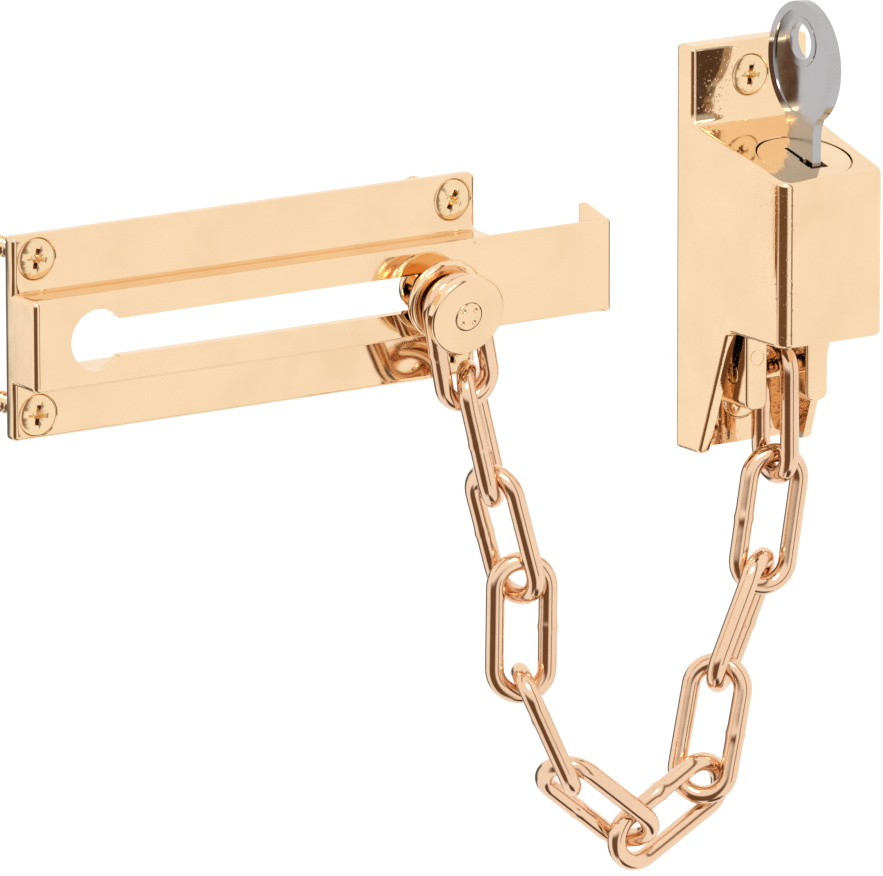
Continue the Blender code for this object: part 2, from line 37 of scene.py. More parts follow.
# Track bracket
PLATE_LENGTH, PLATE_HEIGHT, PLATE_THICK, PLATE_TOP = 104.0, 40.0, 3.4, 34.5
CHANNEL_HEIGHT, CHANNEL_FRONT, CHANNEL_WALL = 18.2, 11.6, 2.2
ARM_OVERHANG, ARM_OVERLAP = 26.0, 6.0
LIP_BACK, LIP_RISE, LIP_THICK = 2.8, 2.0, 2.0
KEYHOLE_DIAMETER, KEYHOLE_FROM_END = 12.0, 14.0
SLOT_HEIGHT, TRAVEL = 7.3, 75.9
SCREW_INSET, SCREW_DROP = 5.3, 4.7
FILLET, FILLET_BITE, FILLET_LAP = 2.2, 0.4, 0.1

# Slider: places are distances out along its own tilted axis
TILT_DEGREES, SLIDER_SAG = 12.0, 0.2
SHAFT_DIAMETER, DISC_DIAMETER, BUTTON_DIAMETER = 5.8, 16.2, 11.0
RIVET_DIAMETER, SLEEVE_DIAMETER = 4.0, 5.8
BUTTON_BACK, BUTTON_FRONT = -4.2, -2.7
FLANGE_BACK, FLANGE_FRONT, DISC_BACK, DISC_FRONT = 3.1, 5.2, 10.4, 13.0
STUD_PROUD, BORE_CLEARANCE, SLEEVE_CLEARANCE = 0.2, 0.1, 0.2
MARK_PLACE = 0.62

# Chain
WIRE, LINK_LENGTH, LINK_WIDTH, LINK_COUNT = 3.76, 30.5, 14.2, 11
WELD_RISE, WELD_SPREAD = 0.17, 0.75

# Screws, number 8 flat heads
HEAD_DIAMETER, SHANK_DIAMETER, CONE_DEPTH, SCREW_LENGTH = 8.0, 4.1, 2.4, 19.0
THREAD_PITCH, THREAD_DEPTH, THREAD_START, THREAD_RUN_IN, GIMLET_LENGTH = 1.55, 0.55, 5.2, 1.2, 4.2
HEAD_SUNK = 0.05
TRACK_SCREW_TURNS, LOCK_SCREW_TURNS = (12, 9, 28, 5), (8, 33)
# A recess slot at its mouth and at its foot: half width, depth and half thickness
RECESS_MOUTH, RECESS_FOOT = (2.35, -0.6, 0.5), (1.0, 1.75, 0.34)

# Lock housing: drops are measured from its top
LOCK_LEFT, LOCK_WIDTH, LOCK_RISE, LOCK_HEIGHT, DRAFT = 100.6, 27.7, 19.5, 81.6, 0.05
LOCK_PLATE, LOCK_LOWER_PLATE, LOCK_FRONT, CHEEK = 5.5, 2.8, 35.3, 2.2
TOP_FACE_BACK, TOP_FACE_FRONT = 15.8, 22.0
# The sloped top passes TOP_FACE_BACK a little in front of the plate, and meets the plate this much higher
SLOPE_START, SLOPE_START_RISE = 0.8, 0.17
UNDERSIDE, GUSSET_TOP_DEPTH, GUSSET_FOOT_DEPTH = 55.1, 17.3, 8.0
UPPER_SCREW_DROP, LOWER_SCREW_DROP = 7.0, 72.7
FRONT_CORNER, TOP_FILLET = 2.8, 2.4
FRONT_WALL, FLOOR_THICK, ROOF_THICK = 0.8, 2.5, 2.4

# Cylinder and key
CYLINDER_DEPTH, HOLE_DIAMETER, FACE_DROP = 24.6, 19.0, 21.9
PLUG_DIAMETER, BODY_LENGTH, PLUG_HEAD, TAIL_LENGTH = 13.0, 16.5, 2.0, 3.2
SPINDLE_DIAMETER = 6.8
FACE_SUNK = 0.2
KEYWAY_WIDTH, KEYWAY_LENGTH = 2.8, 10.0
BLADE_THICK, BLADE_WIDTH, BLADE_LENGTH = 2.0, 8.8, 16.5
BOW_WIDTH, BOW_HEIGHT, BOW_RISE, BOW_HOLE, BOW_HOLE_DROP = 22.6, 24.4, 8.7, 7.4, 8.0
BOW_RIM, HOLE_RIM, POCKET_DEPTH, CROWN = 1.7, 1.3, 0.12, 135.0
GROOVE_DEPTH, GROOVE_HALF, GROOVE_OFFSET, GROOVE_TOP = 0.28, 0.6, 1.3, 1.2
FIRST_CUT_DROP, CUT_DEPTHS = 4.2, (1.1, 0.6, 1.4, 0.9, 0.5)
SHOULDER_NOTCHES = ((4.6, 0.8), (7.0, 0.5))
WAFER_COUNT, WAFER_THICK, WAFER_PITCH, WAFER_ROOM = 5, 0.9, 2.6, 3.7
CAM_THICK = 2.4

# Fork and its pin
FORK_FRONT, FORK_THICK, FORK_WIDTH, PRONG_WIDTH = 19.1, 10.0, 19.3, 5.05
FORK_TOP_DROP, CROTCH_DROP, FORK_BOTTOM_DROP = 41.2, 56.3, 71.0
PIN_DIAMETER, PIN_DROP = 3.9, 64.3
NOTCH_DEPTH, NOTCH_ROOM = 5.0, 0.6
MARK_RISE, MARK_INNER, MARK_OUTER, MARK_DEPTH = 10.6, 1.45, 1.65, 0.12

# Camera: azimuth from +Y towards +X, downward elevation, roll, lens on a 36 mm sensor, place in metres
VIEW_AZIMUTH, VIEW_DOWN, VIEW_ROLL, VIEW_LENS = 32.168, 14.002, -0.10, 513.7
VIEW_PLACE = (-1.22235, -2.01699, 0.57574)

BRASS = (0.955, 0.725, 0.475)
ROSE = (0.90, 0.65, 0.46)
NICKEL = (0.50, 0.50, 0.515)
ZINC = (0.42, 0.42, 0.43)
STEEL = (0.56, 0.56, 0.57)

# Dark strips between the light tent's panels: azimuth, half width, elevation, half height and soft
# edge in degrees, then the colour. The azimuth is measured from +X towards +Y.
TENT_STRIPS = (
    (212, 36, -34, 32, 9, (0.17, 0.085, 0.042)),
    (300, 70, -76, 14, 6, (0.12, 0.06, 0.03)),
    (100, 19, -14, 24, 3, (0.14, 0.14, 0.15)),
    (-75, 6, 25, 50, 4, (0.30, 0.17, 0.09)),
)
TENT_WHITE = (1.0, 0.985, 0.965)
STAGE_LEVEL, STAGE_THICK, STAGE_REACH = -400, 20, 30000

LOCK_X = LOCK_LEFT + LOCK_WIDTH / 2
LOCK_TOP = PLATE_TOP + LOCK_RISE
PLATE_LEFT = -PLATE_LENGTH / 2
CHANNEL_Z = PLATE_TOP - PLATE_HEIGHT / 2
KEYHOLE_X = PLATE_LEFT + KEYHOLE_FROM_END
SLIDER_X = KEYHOLE_X + TRAVEL
TILT = math.radians(TILT_DEGREES)
SLIDER_OUT = Vector((0, -math.cos(TILT), -math.sin(TILT)))
SLIDER_PLACE = Vector((SLIDER_X, -CHANNEL_FRONT + CHANNEL_WALL / 2, CHANNEL_Z - SLIDER_SAG))

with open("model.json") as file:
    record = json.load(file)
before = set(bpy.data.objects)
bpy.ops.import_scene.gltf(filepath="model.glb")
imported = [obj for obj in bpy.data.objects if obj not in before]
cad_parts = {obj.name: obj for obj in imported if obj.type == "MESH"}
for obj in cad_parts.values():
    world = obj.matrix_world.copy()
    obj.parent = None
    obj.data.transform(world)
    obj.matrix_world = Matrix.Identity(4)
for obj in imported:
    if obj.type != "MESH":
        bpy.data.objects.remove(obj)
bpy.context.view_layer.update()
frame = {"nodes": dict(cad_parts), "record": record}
bodies = frame["record"]["behaviour"]["bodies"]
node_body = {node: body for body, nodes in bodies.items() for node in nodes}
node_slot = {row["node"]: row["material_slot"] for row in frame["record"]["subparts"]}


# ---------------------------------------------------------------- mesh helpers


def link_mesh(name, bm):
    bmesh.ops.recalc_face_normals(bm, faces=bm.faces)
    mesh = bpy.data.meshes.new(name)
    bm.to_mesh(mesh)
    bm.free()
    obj = bpy.data.objects.new(name, mesh)
    bpy.context.scene.collection.objects.link(obj)
    return obj


def box(name, low, high):
    low, high = Vector(low) * MM, Vector(high) * MM
    bm = bmesh.new()
    bmesh.ops.create_cube(bm, size=1.0)
    bmesh.ops.scale(bm, vec=high - low, verts=bm.verts)
    bmesh.ops.translate(bm, vec=(low + high) / 2, verts=bm.verts)
    return link_mesh(name, bm)


def skin(bm, rings, loop=False):
    """Faces between neighbouring rings, and from the last ring back to the first one on a loop."""
    following = rings[1:] + rings[:1] if loop else rings[1:]
    for first, second in zip(rings, following):
        for i in range(len(first)):
            j = (i + 1) % len(first)
            bm.faces.new((first[i], first[j], second[j], second[i]))


def prism(name, outline, axis, start, end):
    """An outline swept along an axis: "X" reads (y, z), "Y" reads (x, z) and "Z" reads (x, y)."""
    order = {"X": (2, 0, 1), "Y": (0, 2, 1), "Z": (0, 1, 2)}[axis]

    def place(u, v, along):
        values = (u, v, along)
        return Vector(values[i] for i in order) * MM

    bm = bmesh.new()
    ends = [[bm.verts.new(place(u, v, along)) for u, v in outline] for along in (start, end)]
    for ring in ends:
        bm.faces.new(ring)
    skin(bm, ends)
    return link_mesh(name, bm)


def turned(name, profile, place=(0, 0, 0), direction=(0, 0, 1), steps=96):
    """A solid of revolution from (radius, height) points. A profile off the axis makes a ring."""
    turn = Vector((0, 0, 1)).rotation_difference(Vector(direction)).to_matrix()
    origin = Vector(place)
    bm = bmesh.new()
    rings = []
    for radius, height in profile:
        count = steps if radius > 0 else 1
        ring = []
        for i in range(count):
            angle = 2 * math.pi * i / steps
            point = Vector((radius * math.cos(angle), radius * math.sin(angle), height))
            ring.append(bm.verts.new((turn @ point + origin) * MM))
        rings.append(ring)
    pairs = list(zip(rings, rings[1:]))
    if profile[0][0] > 0:
        pairs.append((rings[-1], rings[0]))
    for first, second in pairs:
        for i in range(steps):
            j = (i + 1) % steps
            corners = [ring[k % len(ring)] for ring, k in ((first, i), (first, j), (second, j), (second, i))]
            bm.faces.new(list(dict.fromkeys(corners)))
    return link_mesh(name, bm)


def rod(name, radius, top, bottom, place, direction=(0, 0, 1), steps=96):
    """A plain cylinder between two heights along its direction."""
    return turned(name, [(0, top), (radius, top), (radius, bottom), (0, bottom)], place, direction, steps)


def rounded(profile, radius, steps=5, corners=None):
    """The profile with its listed inner corners replaced by arcs of about that radius."""
    points = []
    last = len(profile) - 1
    for i, here in enumerate(profile):
        if i in (0, last) or (corners is not None and i not in corners):
            points.append(here)
            continue
        here, before, after = Vector(here), Vector(profile[i - 1]), Vector(profile[i + 1])
        back, on = before - here, after - here
        reach = min(radius, back.length * 0.48, on.length * 0.48)
        start, end = here + back.normalized() * reach, here + on.normalized() * reach
        for k in range(steps + 1):
            t = k / steps
            point = start * (1 - t) ** 2 + here * 2 * t * (1 - t) + end * t**2
            points.append(tuple(point))
    return points


def applied(obj):
    graph = bpy.context.evaluated_depsgraph_get()
    mesh = bpy.data.meshes.new_from_object(obj.evaluated_get(graph))
    obj.modifiers.clear()
    obj.data = mesh
    return obj


def combined(obj, tools, operation="DIFFERENCE"):
    """The object after a Boolean with each tool. The tools are removed."""
    for tool in tools:
        modifier = obj.modifiers.new(tool.name, "BOOLEAN")
        modifier.operation = operation
        modifier.object = tool
        modifier.solver = "EXACT"
    applied(obj)
    for tool in tools:
        bpy.data.objects.remove(tool, do_unlink=True)
    return obj


def softened(obj, width, segments=3, angle=40):
    bevel = obj.modifiers.new("Edges", "BEVEL")
    bevel.width = width * MM
    bevel.segments = segments
    bevel.limit_method = "ANGLE"
    bevel.angle_limit = math.radians(angle)
    bevel.miter_outer = "MITER_ARC"
    return applied(obj)


def joined(obj, others):
    """One mesh that holds the object and the others, which are removed."""
    bm = bmesh.new()
    bm.from_mesh(obj.data)
    for other in others:
        bm.from_mesh(other.data)
        bpy.data.objects.remove(other, do_unlink=True)
    bm.to_mesh(obj.data)
    bm.free()
    return obj


def stand_for(obj, node, material, sharp=32):
    """Shades the piece, puts it on its CAD node's body and hides that node."""
    obj.name = node + "_finish"
    obj.data.materials.clear()
    obj.data.materials.append(material)
    obj.data.shade_smooth()
    obj.data.set_sharp_from_angle(angle=math.radians(sharp))
    weighted = obj.modifiers.new("Even shading", "WEIGHTED_NORMAL")
    weighted.keep_sharp = True
    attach(obj, node_body[node])
    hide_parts(node)


def stadium(radius, half_length, steps):
    points = []
    for side in (1, -1):
        for i in range(steps + 1):
            angle = math.radians(-90 * side) + math.pi * i / steps
            points.append((side * half_length + radius * math.cos(angle), radius * math.sin(angle)))
    return points


# ---------------------------------------------------------------- materials


class Surface:
    """A material's node tree, with short ways to add and link nodes."""

    def __init__(self, name):
        self.material = bpy.data.materials.new(name)
        self.material.use_nodes = True
        self.tree = self.material.node_tree
        self.shader = self.tree.nodes["Principled BSDF"]
        self.place = self.tree.nodes.new("ShaderNodeTexCoord").outputs["Object"]

    def add(self, kind, **values):
        node = self.tree.nodes.new(kind)
        for key, value in values.items():
            setattr(node, key, value)
        return node

    def link(self, output, target):
        self.tree.links.new(output, target)

    def noise(self, scale, detail=4.0, roughness=0.55, stretch=None):
        node = self.add("ShaderNodeTexNoise")
        node.inputs["Scale"].default_value = scale
        node.inputs["Detail"].default_value = detail
        node.inputs["Roughness"].default_value = roughness
        source = self.place
        if stretch:
            mapping = self.add("ShaderNodeMapping")
            mapping.inputs["Scale"].default_value = stretch
            self.link(source, mapping.inputs["Vector"])
            source = mapping.outputs["Vector"]
        self.link(source, node.inputs["Vector"])
        return node.outputs["Fac"]

    def spread(self, source, low, high, new_low, new_high):
        node = self.add("ShaderNodeMapRange")
        for key, value in (("From Min", low), ("From Max", high), ("To Min", new_low), ("To Max", new_high)):
            node.inputs[key].default_value = value
        self.link(source, node.inputs["Value"])
        return node.outputs["Result"]

    def mix(self, factor, first, second):
        node = self.add("ShaderNodeMix", data_type="RGBA")
        self.link(factor, node.inputs["Factor"])
        node.inputs[6].default_value = (*first, 1.0)
        node.inputs[7].default_value = (*second, 1.0)
        return node.outputs[2]

    def bump(self, height, strength, distance, below=None):
        node = self.add("ShaderNodeBump")
        node.inputs["Strength"].default_value = strength
        node.inputs["Distance"].default_value = distance
        self.link(height, node.inputs["Height"])
        if below:
            self.link(below, node.inputs["Normal"])
        return node.outputs["Normal"]


def polished(name, colour, rough, wave=0.25, pits=0.0, tarnish=0.06):
    """Bright plate on a casting: buffing waves, fine scratches, patchy polish and, if asked, small pits."""
    surface = Surface(name)
    shader = surface.shader
    shader.inputs["Metallic"].default_value = 1.0
    patches = surface.noise(70, 5)
    darker = tuple(channel * (1 - tarnish * (1 + 0.6 * i)) for i, channel in enumerate(colour))
    tone = surface.spread(patches, 0.35, 0.75, 0, 1)
    surface.link(surface.mix(tone, colour, darker), shader.inputs["Base Color"])
    smears = surface.noise(260, 6, 0.6)
    surface.link(surface.spread(smears, 0.3, 0.75, rough * 0.7, rough * 1.7), shader.inputs["Roughness"])
    normal = surface.bump(surface.noise(130, 2, 0.4), wave, 0.00025)
    scratches = surface.noise(900, 3, 0.6, (1, 1, 9))
    normal = surface.bump(scratches, 0.05, 0.00004, normal)
    if pits:
        cells = surface.add("ShaderNodeTexVoronoi")
        cells.inputs["Scale"].default_value = 1100
        surface.link(surface.place, cells.inputs["Vector"])
        hollows = surface.spread(cells.outputs["Distance"], 0.0, 0.28, 0, 1)
        normal = surface.bump(hollows, pits, 0.00008, normal)
    surface.link(normal, shader.inputs["Normal"])
    return surface.material


def plain_metal(name, colour, rough, grain):
    """Unpolished metal: a casting's or a stamping's fine grain with uneven dullness."""
    surface = Surface(name)
    shader = surface.shader
    shader.inputs["Metallic"].default_value = 1.0
    darker = tuple(channel * 0.72 for channel in colour)
    tone = surface.spread(surface.noise(180, 6), 0.3, 0.7, 0, 1)
    surface.link(surface.mix(tone, colour, darker), shader.inputs["Base Color"])
    dullness = surface.spread(surface.noise(600, 4), 0.3, 0.7, rough * 0.75, rough * 1.35)
    surface.link(dullness, shader.inputs["Roughness"])
    surface.link(surface.bump(surface.noise(2600, 4), grain, 0.00008), shader.inputs["Normal"])
    return surface.material


looks = {
    "track_plate": polished("track_plate_look", BRASS, 0.055, 0.14),
    "housing_plate": polished("housing_plate_look", BRASS, 0.055, 0.14, 0.25),
    "fork_plate": polished("fork_plate_look", BRASS, 0.08),
    "slider_plate": polished("slider_plate_look", BRASS, 0.07, 0.15),
    "screw_plate": polished("screw_plate_look", (0.94, 0.73, 0.46), 0.10, 0.1),
    "chain_plate": polished("chain_plate_look", ROSE, 0.09, 0.3),
    "plug_brass": polished("plug_brass_look", (0.95, 0.74, 0.50), 0.12, 0.1),
    "wafer_brass": plain_metal("wafer_brass_look", (0.72, 0.55, 0.26), 0.3, 0.15),
    "cylinder_zinc": plain_metal("cylinder_zinc_look", ZINC, 0.42, 0.3),
    "steel": plain_metal("steel_look", STEEL, 0.26, 0.15),
    "key_nickel": polished("key_nickel_look", NICKEL, 0.11, 0.15, 0.0, 0.05),
}


# ---------------------------------------------------------------- screws


def countersink(place, thick):
    head, shank = HEAD_DIAMETER / 2 + GAP, SHANK_DIAMETER / 2 + GAP
    profile = [(0, 1.3), (head, 1.3), (head, -0.03)]
    profile += [(shank, -(CONE_DEPTH + GAP)), (shank, -thick - 1), (0, -thick - 1)]
    return turned("countersink", profile, place, (0, -1, 0))


def threaded_shank(place, rows_per_turn=10, steps=28):
    """The shank below the head, with a ridge that winds to a gimlet point."""
    x, y, z = place
    top, tip = CONE_DEPTH - 0.4, SCREW_LENGTH
    rows = int((tip - top) / THREAD_PITCH * rows_per_turn)
    bm = bmesh.new()
    rings = []
    for row in range(rows + 1):
        deep = top + (tip - top) * row / rows
        taper = min(1.0, max(0.04, (tip - deep) / GIMLET_LENGTH))
        threaded = min(1.0, max(0.0, (deep - THREAD_START) / THREAD_RUN_IN))
        ring = []
        for i in range(steps):
            angle = 2 * math.pi * i / steps
            phase = (deep / THREAD_PITCH - angle / (2 * math.pi)) % 1.0
            ridge = max(0.0, 1 - abs(phase - 0.5) * 3.4)
            radius = (SHANK_DIAMETER / 2 - THREAD_DEPTH * threaded * (1 - ridge)) * taper
            point = Vector((x + radius * math.cos(angle), y + deep, z + radius * math.sin(angle)))
            ring.append(bm.verts.new(point * MM))
        rings.append(ring)
    skin(bm, rings)
    bm.faces.new(rings[0])
    bm.faces.new(rings[-1])
    return link_mesh("shank", bm)


def cross_recess(place, turn):
    """A Phillips recess: two tapered slots and a conical middle, turned about the screw's axis."""
    x, y, z = place
    tools = []
    for quarter in (0, 90):
        bm = bmesh.new()
        bmesh.ops.create_cube(bm, size=1.0)
        for vertex in bm.verts:
            wide, depth, thick = RECESS_FOOT if vertex.co.y > 0 else RECESS_MOUTH
            vertex.co = (math.copysign(wide, vertex.co.x), depth, math.copysign(thick, vertex.co.z))
        spin = Matrix.Rotation(math.radians(turn + quarter), 4, "Y")
        bmesh.ops.transform(bm, matrix=spin, verts=bm.verts)
        for vertex in bm.verts:
            vertex.co = (vertex.co + Vector((x, y, z))) * MM
        tools.append(link_mesh("slot", bm))
    profile = [(0, 0.5), (1.05, 0.5), (0.95, 0), (0.55, -1.5), (0, -1.95)]
    tools.append(turned("middle", profile, place, (0, -1, 0), 24))
    return combined(tools[0], tools[1:], "UNION")


def screw(node, place, turn):
    head, shank = HEAD_DIAMETER / 2, SHANK_DIAMETER / 2
    profile = [(0, -HEAD_SUNK), (head - 0.45, -HEAD_SUNK), (head - 0.1, -0.16), (head, -0.34)]
    profile += [(shank, -CONE_DEPTH - HEAD_SUNK), (shank, -CONE_DEPTH - GAP), (0, -CONE_DEPTH - GAP)]
    top = combined(turned(node, profile, place, (0, -1, 0)), [cross_recess(place, turn)])
    top = softened(top, 0.07, 2, 45)
    stand_for(joined(top, [threaded_shank(place)]), node, looks["screw_plate"])


def track_screw_spots():
    left, right = PLATE_LEFT + SCREW_INSET, -PLATE_LEFT - SCREW_INSET
    top, bottom = PLATE_TOP - SCREW_DROP, PLATE_TOP - PLATE_HEIGHT + SCREW_DROP
    return [(x, -PLATE_THICK, z) for x in (left, right) for z in (top, bottom)]


def lock_screw_spots():
    return [
        (LOCK_X, -LOCK_PLATE, LOCK_TOP - UPPER_SCREW_DROP),
        (LOCK_X, -LOCK_LOWER_PLATE, LOCK_TOP - LOWER_SCREW_DROP),
    ]


# ---------------------------------------------------------------- track bracket


def fillet_outline(top, steps=8):
    """The hollow corner between the plate and the channel's top, as (y, z) points."""
    back, foot = -PLATE_THICK + FILLET_BITE, top - FILLET_BITE
    outline = [(back, top + FILLET + FILLET_LAP), (back, foot), (-PLATE_THICK - FILLET - FILLET_LAP, foot)]
    for i in range(steps + 1):
        angle = math.pi / 2 * i / steps
        out, up = FILLET * (1 - math.sin(angle)), FILLET * (1 - math.cos(angle))
        outline.append((-PLATE_THICK - out, top + up))
    return outline


def build_track():
    half, right = CHANNEL_HEIGHT / 2, -PLATE_LEFT
    bottom = PLATE_TOP - PLATE_HEIGHT
    arm_back = -CHANNEL_FRONT + CHANNEL_WALL
    track = softened(box("track", (PLATE_LEFT, -PLATE_THICK, bottom), (right, 0, PLATE_TOP)), 1.0, 4)
    low, high, end = CHANNEL_Z - half, CHANNEL_Z + half, right + ARM_OVERHANG
    body = box("body", (PLATE_LEFT, -CHANNEL_FRONT, low), (right, -0.5, high))
    arm = box("arm", (right - ARM_OVERLAP, -CHANNEL_FRONT, low), (end, arm_back, high))
    lip = box("lip", (end - LIP_THICK, -CHANNEL_FRONT, low), (end, -LIP_BACK, high))
    for vertex in lip.data.vertices:
        if vertex.co.y > -LIP_BACK * MM - 1e-6:
            vertex.co.z += LIP_RISE * MM * math.copysign(1, vertex.co.z - CHANNEL_Z * MM)
    corner = prism("fillet", fillet_outline(high), "X", PLATE_LEFT + 1.0, right - 1.0)
    additions = [softened(body, 1.2, 4), softened(arm, 0.8, 4), softened(lip, 0.5, 3), corner]
    combined(track, additions, "UNION")
    inner, left_wall = half - CHANNEL_WALL, PLATE_LEFT + CHANNEL_WALL
    middle = SLIDER_X - TRAVEL / 2
    slot = [(middle + u, CHANNEL_Z + v) for u, v in stadium(SLOT_HEIGHT / 2, TRAVEL / 2, 32)]
    tools = [
        box("hollow", (left_wall, arm_back, CHANNEL_Z - inner), (right + 1, 1, CHANNEL_Z + inner)),
        prism("slot", slot, "Y", -CHANNEL_FRONT - 1, arm_back + 1),
        rod("keyhole", KEYHOLE_DIAMETER / 2, 1, -4, (KEYHOLE_X, -CHANNEL_FRONT, CHANNEL_Z), (0, -1, 0)),
    ]
    tools += [countersink(spot, PLATE_THICK) for spot in track_screw_spots()]
    combined(track, tools)
    stand_for(softened(track, 0.22, 2, 50), "track_bracket", looks["track_plate"])


# ---------------------------------------------------------------- slider


def build_slider():
    shaft, rivet, sleeve = SHAFT_DIAMETER / 2, RIVET_DIAMETER / 2, SLEEVE_DIAMETER / 2
    button, wide, hole = BUTTON_DIAMETER / 2, DISC_DIAMETER / 2, RIVET_DIAMETER / 2 + BORE_CLEARANCE
    end, shoulder = DISC_FRONT + STUD_PROUD, DISC_BACK + STUD_PROUD
    shapes = {}
    profile = [(0, end), (shaft, end), (shaft, shoulder), (rivet, shoulder)]
    profile += [(rivet, BUTTON_FRONT), (button, BUTTON_FRONT), (button, BUTTON_BACK), (0, BUTTON_BACK)]
    shapes["slider_stud"] = rounded(profile, 0.45, 5, (1, 5, 6))
    profile = [(hole, FLANGE_FRONT), (wide, FLANGE_FRONT), (wide, FLANGE_BACK), (shaft, FLANGE_BACK)]
    profile += [(shaft, BUTTON_FRONT + GAP), (hole, BUTTON_FRONT + GAP)]
    shapes["slider_shoe"] = rounded(profile, 0.9, 6, (1, 2))
    low, high = FLANGE_FRONT + SLEEVE_CLEARANCE, DISC_BACK - SLEEVE_CLEARANCE
    shapes["slider_sleeve"] = rounded([(hole, high), (sleeve, high), (sleeve, low), (hole, low)], 0.3, 4)
    hole = shaft + BORE_CLEARANCE
    profile = [(hole, DISC_FRONT), (wide, DISC_FRONT), (wide, DISC_BACK), (hole, DISC_BACK)]
    shapes["slider_front_disc"] = rounded(profile, 0.75, 6)
    for node, outline in shapes.items():
        piece = turned(node, outline, SLIDER_PLACE, SLIDER_OUT, 112)
        if node == "slider_stud":
            piece = combined(piece, staking_marks(shaft))
        stand_for(piece, node, looks["slider_plate"], 40)


def staking_marks(shaft, count=4):
    """Punch marks round the end of the shaft, where it is staked into the front disc."""
    side = Vector((1, 0, 0))
    up = SLIDER_OUT.cross(side)
    end = SLIDER_PLACE + SLIDER_OUT * (DISC_FRONT + STUD_PROUD)
    profile = [(0, 0.3), (0.62, 0.3), (0.45, -0.2), (0, -0.55)]
    tools = []
    for i in range(count):
        angle = math.radians(45) + 2 * math.pi * i / count
        spot = end + (side * math.cos(angle) + up * math.sin(angle)) * shaft * MARK_PLACE
        tools.append(turned("mark", profile, spot, SLIDER_OUT, 16))
    return tools


# ---------------------------------------------------------------- chain

# On each link, which long side the weld is on: +1 towards +X, -1 away from it.
WELD_SIDES = (-1, -1, -1, 1, 1, -1, -1, 1, 1, -1, 1)


def link_axes(node):
    """A CAD link's centre and its long and wide directions, from its own vertices, in millimetres."""
    points = np.array([vertex.co for vertex in frame["nodes"][node].data.vertices]) / MM
    low, high = points.min(axis=0), points.max(axis=0)
    middle = (low + high) / 2
    _, vectors = np.linalg.eigh(np.cov((points - points.mean(axis=0)).T))
    return Vector(middle), Vector(vectors[:, 2]), Vector(vectors[:, 1])


def build_link(number, arc_steps=22, side_steps=18, sides=24):
    node = f"link_{number:02d}"
    middle, along, wide = link_axes(node)
    if along.z > 0:
        along = -along
    if wide.x * WELD_SIDES[number - 1] < 0:
        wide = -wide
    radius = (LINK_WIDTH - WIRE) / 2
    half = (LINK_LENGTH - WIRE) / 2 - radius
    line = []
    for side in (1, -1):
        for i in range(arc_steps):
            angle = math.pi * i / arc_steps
            out = (along * math.sin(angle) + wide * math.cos(angle)) * side
            line.append((middle + along * half * side + out * radius, out, 0.0))
        for i in range(side_steps):
            at = half * (1 - 2 * i / side_steps)
            seam = math.exp(-((at / WELD_SPREAD) ** 2)) if side == -1 else 0.0
            line.append((middle + (along * at - wide * radius) * side, -wide * side, seam))
    normal = along.cross(wide)
    bm = bmesh.new()
    rings = []
    for centre, out, seam in line:
        thick = WIRE / 2 + WELD_RISE * seam
        ring = []
        for k in range(sides):
            angle = 2 * math.pi * k / sides
            around = out * math.cos(angle) + normal * math.sin(angle)
            ring.append(bm.verts.new((centre + around * thick) * MM))
        rings.append(ring)
    skin(bm, rings, loop=True)
    stand_for(link_mesh(node, bm), node, looks["chain_plate"], 60)


# ---------------------------------------------------------------- lock housing


def lean(x, y):
    """The x of a cheek point at depth -y, leaning in towards the front."""
    return x - y * DRAFT if x < LOCK_X else x + y * DRAFT


def drafted(name, low, high):
    block = box(name, low, high)
    for vertex in block.data.vertices:
        vertex.co.x = lean(vertex.co.x / MM, vertex.co.y / MM) * MM
    return block


def housing_side():
    """The housing from the side, as (y, z) points."""
    corners = [
        (0, 0),
        (LOCK_PLATE, 0),
        (LOCK_PLATE, TOP_FACE_BACK - SLOPE_START_RISE),
        (LOCK_FRONT, TOP_FACE_FRONT),
        (LOCK_FRONT, UNDERSIDE),
        (GUSSET_TOP_DEPTH, UNDERSIDE),
        (GUSSET_FOOT_DEPTH, LOCK_HEIGHT),
        (0, LOCK_HEIGHT),
    ]
    return [(-depth, LOCK_TOP - drop) for depth, drop in rounded(corners, TOP_FILLET, 7, (2,))]


def housing_plan(steps=10):
    """The housing from above: leaning cheeks and rounded front corners."""
    left, right = LOCK_LEFT, LOCK_LEFT + LOCK_WIDTH
    points = [(right, 0)]
    reach = -(LOCK_FRONT - FRONT_CORNER)
    for x, side in ((right, 1), (left, -1)):
        centre = lean(x, reach) - side * FRONT_CORNER
        arc = range(steps + 1) if side > 0 else range(steps, -1, -1)
        for i in arc:
            angle = math.pi / 2 * i / steps
            across, out = FRONT_CORNER * math.cos(angle), FRONT_CORNER * math.sin(angle)
            points.append((centre + side * across, reach - out))
    return points + [(left, 0)]


